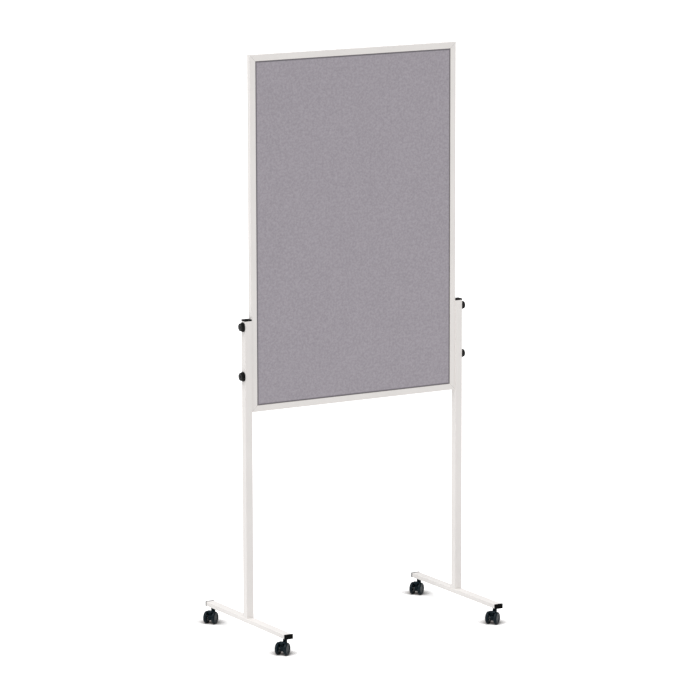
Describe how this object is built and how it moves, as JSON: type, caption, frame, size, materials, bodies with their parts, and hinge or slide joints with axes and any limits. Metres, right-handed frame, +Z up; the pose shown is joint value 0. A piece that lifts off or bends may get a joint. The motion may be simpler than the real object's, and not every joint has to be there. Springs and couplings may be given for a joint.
{
  "type": "mobile pin board and whiteboard",
  "caption": "Upright board with a grey felt front and a whiteboard back in a slim white frame, clamped by hand screws between two castored posts.",
  "frame": {"origin": "on the floor, under the middle of the board", "axes": "+Z up, +X to the right of someone facing the felt, -Y out of the felt, +Y out of the whiteboard"},
  "size_m": [0.8975, 0.5664, 1.977],
  "materials": {
    "frame_paint": "white powder coat, satin",
    "stand_paint": "white powder coat, satin",
    "felt": "grey needle felt",
    "whiteboard_enamel": "white lacquer, glossy",
    "core_board": "soft fibre board",
    "black_cap": "matt black",
    "knob_plastic": "matt black",
    "washer_plastic": "matt black",
    "castor_hood_nylon": "black nylon, satin",
    "castor_wheel_nylon": "black nylon, satin",
    "zinc_steel": "zinc plated",
    "blackened_steel": "blackened, satin",
    "zinc_casting": "raw casting"
  },
  "bodies": {
    "stand": {"frame_top_rail": "frame_paint", "frame_bottom_rail": "frame_paint", "frame_left_stile": "frame_paint", "frame_right_stile": "frame_paint", "corner_keys": "zinc_casting", "nut_blocks": "zinc_casting", "core_panel": "core_board", "felt_sheet": "felt", "whiteboard_sheet": "whiteboard_enamel", "foot_screws": "zinc_steel", "castor_nuts": "zinc_steel", "left_post": "stand_paint", "left_post_cap": "black_cap", "left_post_plug": "zinc_casting", "left_foot": "stand_paint", "left_foot_front_cap": "black_cap", "left_foot_rear_cap": "black_cap", "right_post": "stand_paint", "right_post_cap": "black_cap", "right_post_plug": "zinc_casting", "right_foot": "stand_paint", "right_foot_front_cap": "black_cap", "right_foot_rear_cap": "black_cap", "front_left_castor_stem": "blackened_steel", "front_right_castor_stem": "blackened_steel", "rear_left_castor_stem": "blackened_steel", "rear_right_castor_stem": "blackened_steel"},
    "left_upper_washer_body": {"left_upper_washer": "washer_plastic"},
    "left_upper_knob_body": {"left_upper_knob": "knob_plastic", "left_upper_stud": "zinc_steel"},
    "left_lower_washer_body": {"left_lower_washer": "washer_plastic"},
    "left_lower_knob_body": {"left_lower_knob": "knob_plastic", "left_lower_stud": "zinc_steel"},
    "right_upper_washer_body": {"right_upper_washer": "washer_plastic"},
    "right_upper_knob_body": {"right_upper_knob": "knob_plastic", "right_upper_stud": "zinc_steel"},
    "right_lower_washer_body": {"right_lower_washer": "washer_plastic"},
    "right_lower_knob_body": {"right_lower_knob": "knob_plastic", "right_lower_stud": "zinc_steel"},
    "front_left_castor_body": {"front_left_castor_hood": "castor_hood_nylon", "front_left_castor_axle": "zinc_steel"},
    "front_left_castor_left_wheel_body": {"front_left_castor_left_wheel": "castor_wheel_nylon"},
    "front_left_castor_right_wheel_body": {"front_left_castor_right_wheel": "castor_wheel_nylon"},
    "front_right_castor_body": {"front_right_castor_hood": "castor_hood_nylon", "front_right_castor_axle": "zinc_steel"},
    "front_right_castor_left_wheel_body": {"front_right_castor_left_wheel": "castor_wheel_nylon"},
    "front_right_castor_right_wheel_body": {"front_right_castor_right_wheel": "castor_wheel_nylon"},
    "rear_left_castor_body": {"rear_left_castor_hood": "castor_hood_nylon", "rear_left_castor_axle": "zinc_steel"},
    "rear_left_castor_left_wheel_body": {"rear_left_castor_left_wheel": "castor_wheel_nylon"},
    "rear_left_castor_right_wheel_body": {"rear_left_castor_right_wheel": "castor_wheel_nylon"},
    "rear_right_castor_body": {"rear_right_castor_hood": "castor_hood_nylon", "rear_right_castor_axle": "zinc_steel"},
    "rear_right_castor_left_wheel_body": {"rear_right_castor_left_wheel": "castor_wheel_nylon"},
    "rear_right_castor_right_wheel_body": {"rear_right_castor_right_wheel": "castor_wheel_nylon"}
  },
  "joints": [
    {"name": "left_upper_screw_travel", "type": "slide", "parent": "stand", "child": "left_upper_washer_body", "axis": [-1, 0, 0], "range_m": [0, 0.0075]},
    {"name": "left_upper_knob_turn", "type": "hinge", "parent": "left_upper_washer_body", "child": "left_upper_knob_body", "pos_m": [-0.4276, 0, 1.068], "axis": [-1, 0, 0], "range_deg": [0, 2161]},
    {"name": "left_lower_screw_travel", "type": "slide", "parent": "stand", "child": "left_lower_washer_body", "axis": [-1, 0, 0], "range_m": [0, 0.0075]},
    {"name": "left_lower_knob_turn", "type": "hinge", "parent": "left_lower_washer_body", "child": "left_lower_knob_body", "pos_m": [-0.4276, 0, 0.9], "axis": [-1, 0, 0], "range_deg": [0, 2161]},
    {"name": "right_upper_screw_travel", "type": "slide", "parent": "stand", "child": "right_upper_washer_body", "axis": [1, 0, 0], "range_m": [0, 0.0075]},
    {"name": "right_upper_knob_turn", "type": "hinge", "parent": "right_upper_washer_body", "child": "right_upper_knob_body", "pos_m": [0.4276, 0, 1.068], "axis": [1, 0, 0], "range_deg": [0, 2161]},
    {"name": "right_lower_screw_travel", "type": "slide", "parent": "stand", "child": "right_lower_washer_body", "axis": [1, 0, 0], "range_m": [0, 0.0075]},
    {"name": "right_lower_knob_turn", "type": "hinge", "parent": "right_lower_washer_body", "child": "right_lower_knob_body", "pos_m": [0.4276, 0, 0.9], "axis": [1, 0, 0], "range_deg": [0, 2161]},
    {"name": "front_left_castor_swivel", "type": "hinge", "parent": "stand", "child": "front_left_castor_body", "pos_m": [-0.413, -0.25, 0.02175], "axis": [0, 0, 1], "continuous": true},
    {"name": "front_left_castor_left_wheel_spin", "type": "hinge", "parent": "front_left_castor_body", "child": "front_left_castor_left_wheel_body", "pos_m": [-0.42918, -0.26176, 0.02175], "axis": [-0.5878, 0.809, 0], "continuous": true},
    {"name": "front_left_castor_right_wheel_spin", "type": "hinge", "parent": "front_left_castor_body", "child": "front_left_castor_right_wheel_body", "pos_m": [-0.42918, -0.26176, 0.02175], "axis": [-0.5878, 0.809, 0], "continuous": true},
    {"name": "front_right_castor_swivel", "type": "hinge", "parent": "stand", "child": "front_right_castor_body", "pos_m": [0.413, -0.25, 0.02175], "axis": [0, 0, 1], "continuous": true},
    {"name": "front_right_castor_left_wheel_spin", "type": "hinge", "parent": "front_right_castor_body", "child": "front_right_castor_left_wheel_body", "pos_m": [0.39682, -0.26176, 0.02175], "axis": [-0.5878, 0.809, 0], "continuous": true},
    {"name": "front_right_castor_right_wheel_spin", "type": "hinge", "parent": "front_right_castor_body", "child": "front_right_castor_right_wheel_body", "pos_m": [0.39682, -0.26176, 0.02175], "axis": [-0.5878, 0.809, 0], "continuous": true},
    {"name": "rear_left_castor_swivel", "type": "hinge", "parent": "stand", "child": "rear_left_castor_body", "pos_m": [-0.413, 0.25, 0.02175], "axis": [0, 0, 1], "continuous": true},
    {"name": "rear_left_castor_left_wheel_spin", "type": "hinge", "parent": "rear_left_castor_body", "child": "rear_left_castor_left_wheel_body", "pos_m": [-0.42918, 0.23824, 0.02175], "axis": [-0.5878, 0.809, 0], "continuous": true},
    {"name": "rear_left_castor_right_wheel_spin", "type": "hinge", "parent": "rear_left_castor_body", "child": "rear_left_castor_right_wheel_body", "pos_m": [-0.42918, 0.23824, 0.02175], "axis": [-0.5878, 0.809, 0], "continuous": true},
    {"name": "rear_right_castor_swivel", "type": "hinge", "parent": "stand", "child": "rear_right_castor_body", "pos_m": [0.413, 0.25, 0.02175], "axis": [0, 0, 1], "continuous": true},
    {"name": "rear_right_castor_left_wheel_spin", "type": "hinge", "parent": "rear_right_castor_body", "child": "rear_right_castor_left_wheel_body", "pos_m": [0.39682, 0.23824, 0.02175], "axis": [-0.5878, 0.809, 0], "continuous": true},
    {"name": "rear_right_castor_right_wheel_spin", "type": "hinge", "parent": "rear_right_castor_body", "child": "rear_right_castor_right_wheel_body", "pos_m": [0.39682, 0.23824, 0.02175], "axis": [-0.5878, 0.809, 0], "continuous": true}
  ],
  "couplings": [
    {"joint": "left_upper_knob_turn", "follows": "left_upper_screw_travel", "rad_per_m": 5026.5},
    {"joint": "left_lower_knob_turn", "follows": "left_lower_screw_travel", "rad_per_m": 5026.5},
    {"joint": "right_upper_knob_turn", "follows": "right_upper_screw_travel", "rad_per_m": 5026.5},
    {"joint": "right_lower_knob_turn", "follows": "right_lower_screw_travel", "rad_per_m": 5026.5}
  ]
}
